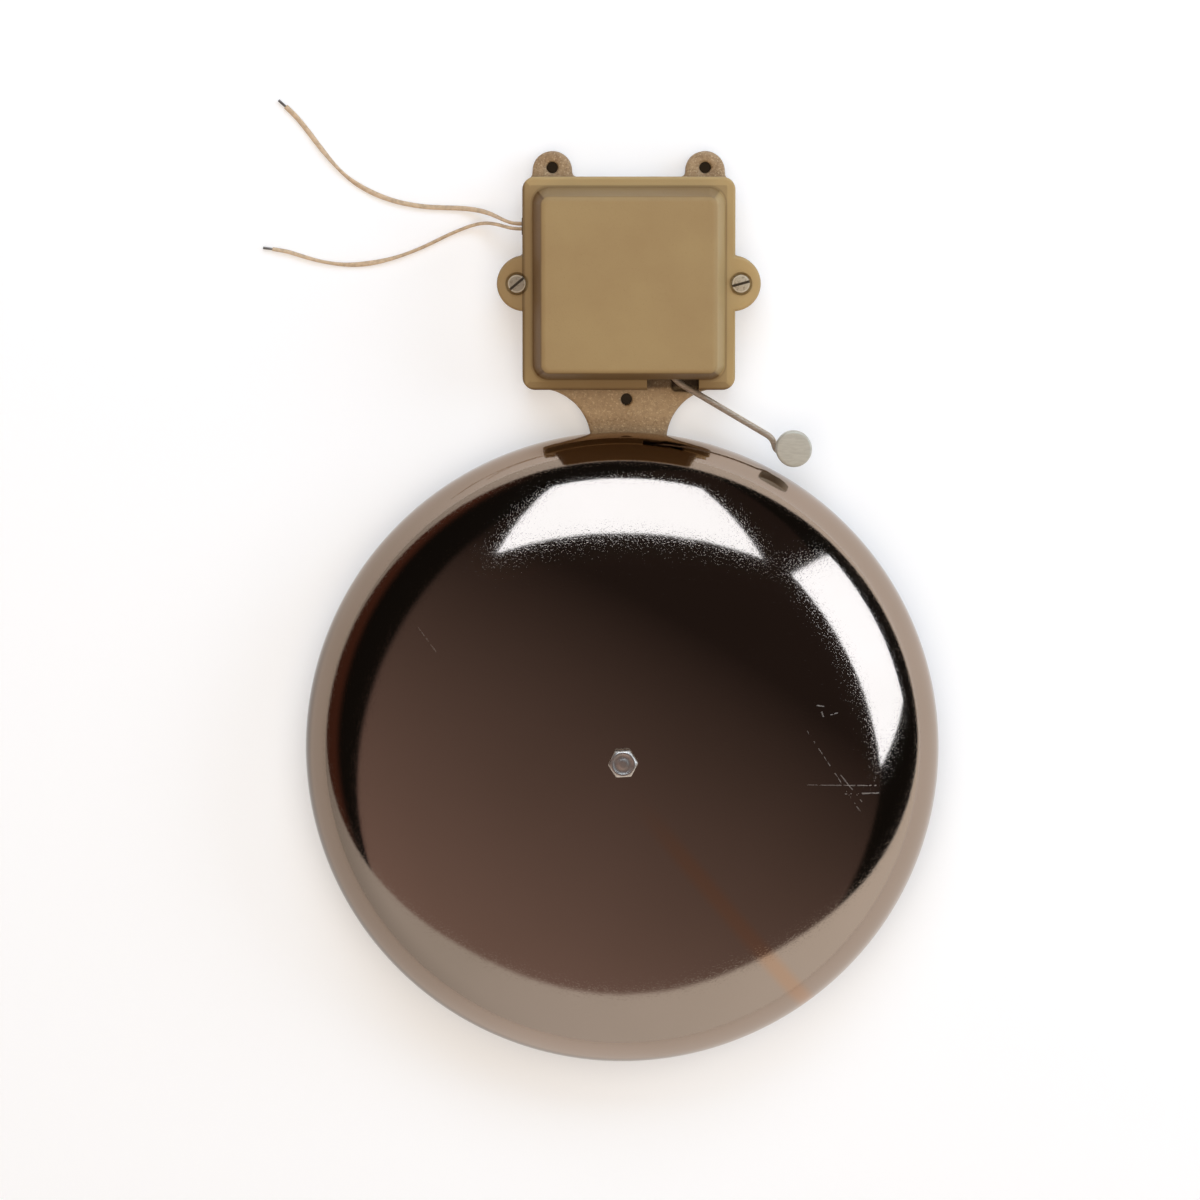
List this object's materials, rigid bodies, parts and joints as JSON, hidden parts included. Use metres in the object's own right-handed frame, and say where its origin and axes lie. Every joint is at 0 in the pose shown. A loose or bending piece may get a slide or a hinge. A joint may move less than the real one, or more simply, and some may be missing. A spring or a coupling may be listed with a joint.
{
  "type": "electric bell",
  "caption": "Wall electric bell: a large domed gong on a cast base, with a square case whose magnet swings an outside hammer, and two wire leads.",
  "frame": {"origin": "on the flat wall face of the cast base, on the axis of the gong", "axes": "+Z out of the wall along the gong's axis, +Y from the gong up to the case and its ears, +X to the hammer's side"},
  "size_m": [0.3199, 0.4562, 0.0811],
  "materials": {
    "cast_paint": "rough cast bronze-brown paint, worn at the edges",
    "cover_paint": "satin olive gold paint",
    "gong_metal": "polished warm copper-brown plated steel",
    "zinc_steel": "dull yellow zinc plating",
    "dull_steel": "aged screws",
    "nickel": "brushed nickel plating",
    "soft_iron": "soft iron, black oxide",
    "brass": "turned brass",
    "copper_winding": "enamelled copper wire",
    "fibre": "red vulcanised fibre",
    "bakelite": "black bakelite",
    "rubber": "black rubber",
    "lead_cover": "tan varnished cotton lead cover",
    "hookup_cover": "black hook-up wire insulation",
    "strand": "tinned copper strands",
    "spring_metal": "phosphor bronze and spring steel"
  },
  "bodies": {
    "frame": {"base_casting": "cast_paint", "case_cover": "cover_paint", "cover_screws": "dull_steel", "gong": "gong_metal", "gong_pillar": "zinc_steel", "gong_fibre_washer": "fibre", "gong_washer": "zinc_steel", "gong_bolt": "zinc_steel", "magnet_yoke": "soft_iron", "core_lower": "soft_iron", "core_upper": "soft_iron", "bobbin_lower": "bakelite", "bobbin_upper": "bakelite", "winding_lower": "copper_winding", "winding_upper": "copper_winding", "core_screws": "dull_steel", "yoke_screws": "dull_steel", "pivot_pin": "nickel", "pivot_clip": "spring_metal", "insulating_plate": "fibre", "contact_post": "brass", "post_screw": "dull_steel", "contact_screw": "brass", "contact_lock_nut": "brass", "spring_post": "brass", "return_spring": "spring_metal", "spring_rivets": "brass", "terminal_block": "bakelite", "terminal_tags": "brass", "terminal_screws": "brass", "block_screw": "dull_steel", "lead_grommet": "rubber", "lead_upper": "lead_cover", "lead_lower": "lead_cover", "lead_tail_upper": "lead_cover", "lead_tail_lower": "lead_cover", "coil_feed_wire": "hookup_cover", "coil_link_wire": "hookup_cover", "contact_feed_wire": "hookup_cover", "pivot_feed_wire": "hookup_cover", "lead_upper_tip": "strand", "lead_lower_tip": "strand"},
    "striker": {"armature": "soft_iron", "pivot_bush": "brass", "hammer_arm": "nickel", "hammer": "nickel", "contact_leaf": "spring_metal", "contact_tip": "nickel", "leaf_rivets": "brass"}
  },
  "joints": [
    {"name": "hammer_swing", "type": "hinge", "parent": "frame", "child": "striker", "pos_m": [0.0195, 0.253, 0.025], "axis": [0, 0, -1], "range_deg": [0, 2.65], "stiffness_Nm_per_rad": 0.1, "springref_deg": -5.73, "deforming": ["return_spring"]}
  ]
}
